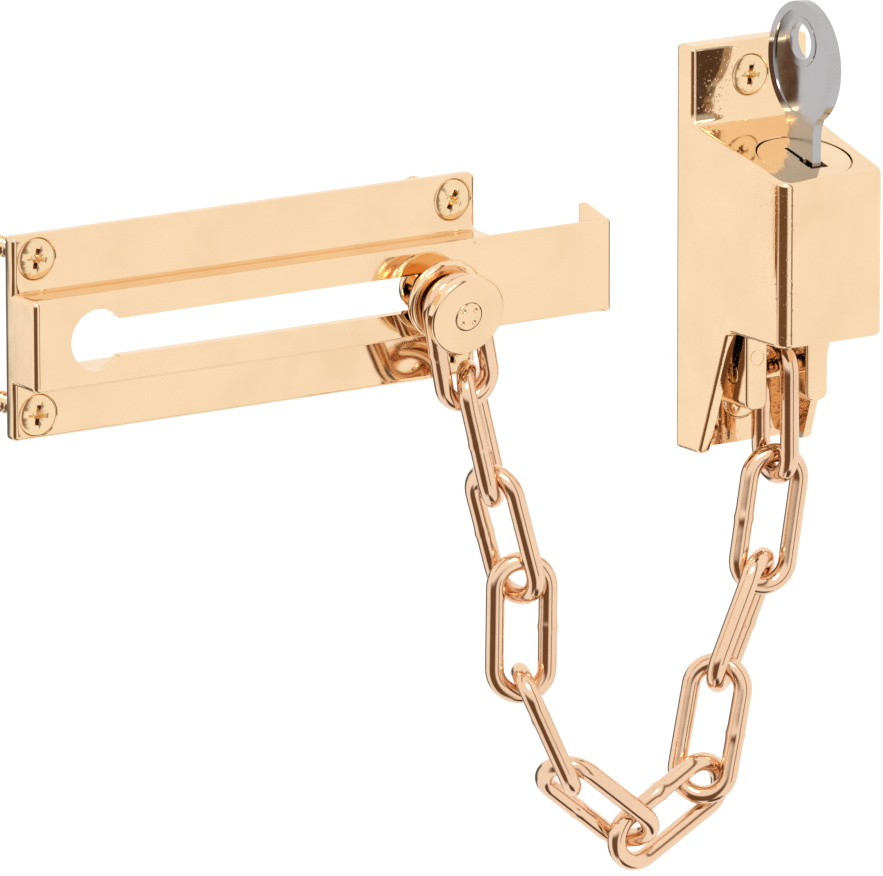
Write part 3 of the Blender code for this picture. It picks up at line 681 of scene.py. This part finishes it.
def build_housing():
    left, right = LOCK_LEFT, LOCK_LEFT + LOCK_WIDTH
    foot = LOCK_TOP - LOCK_HEIGHT
    floor, roof = LOCK_TOP - UNDERSIDE + FLOOR_THICK, LOCK_TOP - TOP_FACE_FRONT - ROOF_THICK
    housing = prism("housing", housing_side(), "X", left - 2, right + 2)
    combined(housing, [prism("plan", housing_plan(), "Z", foot - 1, LOCK_TOP + 1)], "INTERSECT")
    softened(housing, 1.0, 4, 40)
    inner_left, inner_right = left + CHEEK, right - CHEEK
    fork_room = FORK_FRONT + GAP
    way_low = (inner_left + 0.1, -fork_room, foot - 1)
    way_high = (inner_right - 0.1, -LOCK_LOWER_PLATE, floor + 1)
    thickness = (LOCK_PLATE, LOCK_LOWER_PLATE)
    tools = [
        drafted("main", (inner_left, -(LOCK_FRONT - FRONT_WALL), floor), (inner_right, 1, roof)),
        drafted("way", way_low, way_high),
        rod("hole", HOLE_DIAMETER / 2, 8, -8, (LOCK_X, -CYLINDER_DEPTH, LOCK_TOP - FACE_DROP)),
    ]
    tools += [countersink(spot, thick) for spot, thick in zip(lock_screw_spots(), thickness)]
    combined(housing, tools)
    stand_for(softened(housing, 0.25, 2, 50), "lock_housing", looks["housing_plate"])


# ---------------------------------------------------------------- cylinder and key


def build_plug():
    """The plug: its round face follows the housing's sloped top, with the keyway and the wafers' rooms."""
    face = LOCK_TOP - FACE_DROP
    head, plug, spindle = HOLE_DIAMETER / 2 - GAP, PLUG_DIAMETER / 2, SPINDLE_DIAMETER / 2
    bottom = -PLUG_HEAD - GAP - BODY_LENGTH
    end = bottom - TAIL_LENGTH - CAM_THICK - 0.2
    profile = [(0, 6), (head, 6), (head, -PLUG_HEAD)]
    profile += [(plug, -PLUG_HEAD), (plug, bottom - GAP), (spindle, bottom - GAP), (spindle, end), (0, end)]
    x, y = LOCK_X, -CYLINDER_DEPTH
    piece = turned("plug", profile, (x, y, face))
    slope = (TOP_FACE_FRONT - TOP_FACE_BACK) / (LOCK_FRONT - LOCK_PLATE - SLOPE_START)
    middle = LOCK_TOP - TOP_FACE_BACK - slope * (CYLINDER_DEPTH - LOCK_PLATE - SLOPE_START) - FACE_SUNK
    wide, above = 12, face + 20
    cut = [(y + wide, middle + wide * slope), (y - wide, middle - wide * slope)]
    cut += [(y - wide, above), (y + wide, above)]
    half_x, half_y, foot, mouth = KEYWAY_WIDTH / 2, KEYWAY_LENGTH / 2, face - BLADE_LENGTH - 1, face + 8
    tools = [
        prism("face", cut, "X", x - wide, x + wide),
        box("keyway", (x - half_x, y - half_y, foot), (x + half_x, y + half_y, mouth)),
        box("mouth", (x - 1.9, y - half_y - 0.3, face + 0.2), (x + 2.2, y - half_y + 4.4, mouth)),
    ]
    reach = PLUG_DIAMETER / 2 - 0.35
    for number in range(WAFER_COUNT):
        top = face - PLUG_HEAD - 2.0 - number * WAFER_PITCH
        low = (x - WAFER_ROOM, y - reach, top - WAFER_THICK - GAP)
        high = (x + WAFER_ROOM, y + reach, top + GAP)
        tools.append(box("wafer_room", low, high))
    stand_for(softened(combined(piece, tools), 0.16, 3, 50), "cylinder_plug", looks["plug_brass"])


def bow_outline(y, z, shrink=0.0, steps=96):
    half_y, half_z = BOW_WIDTH / 2 - shrink, BOW_HEIGHT / 2 - shrink
    angles = [2 * math.pi * i / steps for i in range(steps)]
    return [(y + half_y * math.cos(angle), z + half_z * math.sin(angle)) for angle in angles]


def blade_outline(y, tip, waist):
    """The pointed blade and the neck that widens into the bow, as (y, z) points."""
    blade, neck = BLADE_WIDTH / 2, BLADE_WIDTH / 2 + 2.2
    corners = [(blade - 3, tip), (blade, tip + 3), (blade, waist - 2.6), (neck, waist + 1.6)]
    side = rounded(corners, 2.4, 6, (1, 2))
    return [(y + u, z) for u, z in side] + [(y - u, z) for u, z in reversed(side)]


def side_tools(side, y, bow_z, hole_z):
    """The crowned pocket in the bow and the groove in the blade, both on one side of the key."""
    face = LOCK_TOP - FACE_DROP
    at = LOCK_X + side * BLADE_THICK / 2
    near, far = sorted((at - side * 0.6, at + side * 1.0))
    pocket = prism("pocket", bow_outline(y, bow_z, BOW_RIM), "X", near, far)
    collar = rod("collar", BOW_HOLE / 2 + HOLE_RIM, 5, -5, (LOCK_X, y, hole_z), (1, 0, 0))
    crown = rod("crown", CROWN, 20, -20, (at - side * (CROWN + POCKET_DEPTH), y, bow_z), (0, 0, 1), 720)
    combined(pocket, [collar, crown])
    near, far = sorted((at - side * GROOVE_DEPTH, at + side * 1.0))
    middle, tip = y + side * GROOVE_OFFSET, face - BLADE_LENGTH
    low, high = (near, middle - GROOVE_HALF, tip - 1), (far, middle + GROOVE_HALF, face + GROOVE_TOP)
    return [pocket, box("groove", low, high)]


def edge_cut(side, y, z, depth, foot):
    """A cut in one edge of the blade: 2 mm high outside it, and narrower at its foot."""
    outer, inner = y + side * (BLADE_WIDTH / 2 + 1), y + side * (BLADE_WIDTH / 2 - depth)
    outline = [(outer, z + 1.0), (outer, z - 1.0), (inner, z - foot), (inner, z + foot)]
    reach = BLADE_THICK / 2 + 1
    return prism("cut", outline, "X", LOCK_X - reach, LOCK_X + reach)


def build_key():
    """A flat key with a raised rim round its bow and its hole, grooved blade sides and cut teeth."""
    face, y = LOCK_TOP - FACE_DROP, -CYLINDER_DEPTH
    bow_z = face + BOW_RISE + BOW_HEIGHT / 2
    hole_z = bow_z + BOW_HEIGHT / 2 - BOW_HOLE_DROP
    left, right = LOCK_X - BLADE_THICK / 2, LOCK_X + BLADE_THICK / 2
    key = prism("key", bow_outline(y, bow_z), "X", left, right)
    outline = blade_outline(y, face - BLADE_LENGTH, bow_z - BOW_HEIGHT / 2 + 1.9)
    combined(key, [prism("blade", outline, "X", left + 0.02, right - 0.02)], "UNION")
    tools = [rod("key_hole", BOW_HOLE / 2, 4, -4, (LOCK_X, y, hole_z), (1, 0, 0))]
    for side in (-1, 1):
        tools += side_tools(side, y, bow_z, hole_z)
    for i, depth in enumerate(CUT_DEPTHS):
        z = face - FIRST_CUT_DROP - i * WAFER_PITCH
        tools += [edge_cut(side, y, z, depth, 0.35) for side in (-1, 1)]
    tools += [edge_cut(1, y, face + rise, depth, 0.4) for rise, depth in SHOULDER_NOTCHES]
    combined(key, tools)
    stand_for(softened(key, 0.14, 2, 45), "key", looks["key_nickel"])


# ---------------------------------------------------------------- fork


def build_fork():
    """The two-pronged fork with the cam's notch, the pin's bore and a small ring mark on one prong."""
    half, gap_half = FORK_WIDTH / 2, FORK_WIDTH / 2 - PRONG_WIDTH
    top, crotch, bottom = (LOCK_TOP - drop for drop in (FORK_TOP_DROP, CROTCH_DROP, FORK_BOTTOM_DROP))
    back, front = -(FORK_FRONT - FORK_THICK), -FORK_FRONT
    outline = [(half, top), (half, bottom), (gap_half, bottom), (gap_half, crotch)]
    side = rounded([(half + 1, top), *outline, (0, crotch)], 2.0, 6, (2, 3))[1:-1]
    whole = [(LOCK_X + x, z) for x, z in side] + [(LOCK_X - x, z) for x, z in reversed(side)]
    fork = softened(prism("fork", whole, "Y", back, front), 0.55, 4)
    pin_z, pin_y = LOCK_TOP - PIN_DROP, -(FORK_FRONT - FORK_THICK / 2)
    cam_top = LOCK_TOP - FACE_DROP - PLUG_HEAD - GAP - BODY_LENGTH - TAIL_LENGTH
    notch_low = (LOCK_X - half - 1, front - 1, cam_top - CAM_THICK - NOTCH_ROOM)
    notch_high = (LOCK_X + half + 1, front + NOTCH_DEPTH, cam_top + NOTCH_ROOM)
    mark = [(MARK_INNER, 0.5), (MARK_OUTER, 0.5), (MARK_OUTER, -MARK_DEPTH), (MARK_INNER, -MARK_DEPTH)]
    mark_x = LOCK_X - (half + gap_half) / 2
    tools = [
        box("cam_notch", notch_low, notch_high),
        rod("bore", PIN_DIAMETER / 2 + 0.05, 12, -12, (LOCK_X, pin_y, pin_z), (1, 0, 0)),
        turned("mark", mark, (mark_x, front, bottom + MARK_RISE), (0, -1, 0), 48),
    ]
    combined(fork, tools)
    stand_for(softened(fork, 0.12, 2, 50), "fork", looks["fork_plate"])
    pin, reach = PIN_DIAMETER / 2, half - 0.1
    profile = rounded([(0, reach), (pin, reach), (pin, -reach), (0, -reach)], 0.35, 4)
    stand_for(turned("pin", profile, (LOCK_X, pin_y, pin_z), (1, 0, 0)), "fork_pin", looks["fork_plate"])


# ---------------------------------------------------------------- stage, light and camera


def view_axes():
    """The camera's directions ahead, to its right and up."""
    azimuth, down, roll = (math.radians(v) for v in (VIEW_AZIMUTH, VIEW_DOWN, VIEW_ROLL))
    level = math.cos(down)
    ahead = Vector((math.sin(azimuth) * level, math.cos(azimuth) * level, -math.sin(down)))
    right = Vector((math.cos(azimuth), -math.sin(azimuth), 0))
    up = right.cross(ahead)
    return ahead, right * math.cos(roll) + up * math.sin(roll), up * math.cos(roll) - right * math.sin(roll)


def build_camera():
    ahead, right, up = view_axes()
    data = bpy.data.cameras.new("photo_view")
    data.lens = VIEW_LENS
    data.clip_end = 50
    camera = bpy.data.objects.new("photo_view", data)
    bpy.context.scene.collection.objects.link(camera)
    turn = Matrix((right, up, -ahead)).transposed().to_4x4()
    camera.matrix_world = Matrix.Translation(VIEW_PLACE) @ turn
    bpy.context.scene.camera = camera


def build_world():
    """A light tent: white all round, with soft dark strips between its panels."""
    world = bpy.data.worlds.new("tent")
    bpy.context.scene.world = world
    world.use_nodes = True
    tree = world.node_tree
    new, link = tree.nodes.new, tree.links.new
    background = tree.nodes["Background"]
    split = new("ShaderNodeSeparateXYZ")
    link(new("ShaderNodeTexCoord").outputs["Generated"], split.inputs[0])

    def math_node(operation, *sources):
        node = new("ShaderNodeMath")
        node.operation = operation
        for i, source in enumerate(sources):
            if isinstance(source, (int, float)):
                node.inputs[i].default_value = source
            else:
                link(source, node.inputs[i])
        return node.outputs[0]

    x, y, z = split.outputs
    azimuth = math_node("ARCTAN2", y, x)
    elevation = math_node("ARCSINE", z)

    def inside(value, centre, half, edge, wrap):
        offset = math_node("SUBTRACT", value, math.radians(centre))
        if wrap:
            offset = math_node("WRAP", offset, math.pi, -math.pi)
        spread = new("ShaderNodeMapRange")
        spread.interpolation_type = "SMOOTHSTEP"
        link(math_node("ABSOLUTE", offset), spread.inputs["Value"])
        spread.inputs["From Min"].default_value = math.radians(half + edge)
        spread.inputs["From Max"].default_value = math.radians(half - edge)
        return spread.outputs["Result"]

    shade = new("ShaderNodeRGB")
    shade.outputs[0].default_value = (*TENT_WHITE, 1.0)
    colour = shade.outputs[0]
    for centre, half, height, tall, edge, dark in TENT_STRIPS:
        across = inside(azimuth, centre, half, edge, True)
        upright = inside(elevation, height, tall, edge, False)
        mix = new("ShaderNodeMix")
        mix.data_type = "RGBA"
        link(math_node("MULTIPLY", across, upright), mix.inputs["Factor"])
        link(colour, mix.inputs[6])
        mix.inputs[7].default_value = (*dark, 1.0)
        colour = mix.outputs[2]
    link(colour, background.inputs["Color"])
    background.inputs["Strength"].default_value = 1.0


def area_light(name, place, aim, size, power, colour):
    data = bpy.data.lights.new(name, "AREA")
    data.shape = "RECTANGLE"
    data.size, data.size_y = size
    data.energy = power
    data.color = colour
    light = bpy.data.objects.new(name, data)
    bpy.context.scene.collection.objects.link(light)
    light.location = place
    light.rotation_euler = (Vector(aim) - Vector(place)).to_track_quat("-Z", "Y").to_euler()


def build_stage():
    low = (-STAGE_REACH, -STAGE_REACH, STAGE_LEVEL - STAGE_THICK)
    floor = box("floor", low, (STAGE_REACH, STAGE_REACH, STAGE_LEVEL))
    surface = Surface("floor_look")
    surface.shader.inputs["Roughness"].default_value = 0.9
    surface.shader.inputs["Specular IOR Level"].default_value = 0.0
    tone = surface.spread(surface.noise(3, 2), 0.3, 0.7, 0, 1)
    pale = surface.mix(tone, (0.97, 0.97, 0.97), (0.955, 0.955, 0.955))
    surface.link(pale, surface.shader.inputs["Base Color"])
    surface.shader.inputs["Emission Color"].default_value = (1.0, 1.0, 1.0, 1.0)
    surface.shader.inputs["Emission Strength"].default_value = 0.14
    floor.data.materials.append(surface.material)
    floor.visible_glossy = False
    build_world()
    area_light("key", (-0.6, -1.1, 1.3), (0.04, 0, 0.01), (0.8, 0.5), 9, (1.0, 0.98, 0.95))
    bpy.context.scene.view_settings.view_transform = "Standard"


def finish_inner_pieces():
    """The lock's inner pieces keep their CAD shapes and take their own materials."""
    nodes = ["cylinder_body", "retaining_clip", "cam", "cam_screw"]
    nodes += [f"wafer_{number}" for number in range(1, WAFER_COUNT + 1)]
    for node in nodes:
        piece = frame["nodes"][node]
        piece.data.materials.clear()
        piece.data.materials.append(looks[node_slot[node]])


def main():
    finish_inner_pieces()
    build_track()
    for number, (spot, turn) in enumerate(zip(track_screw_spots(), TRACK_SCREW_TURNS), 1):
        screw(f"track_screw_{number}", spot, turn)
    build_slider()
    for number in range(1, LINK_COUNT + 1):
        build_link(number)
    build_housing()
    for number, (spot, turn) in enumerate(zip(lock_screw_spots(), LOCK_SCREW_TURNS), 1):
        screw(f"lock_screw_{number}", spot, turn)
    build_plug()
    build_key()
    build_fork()
    build_camera()
    build_stage()


main()
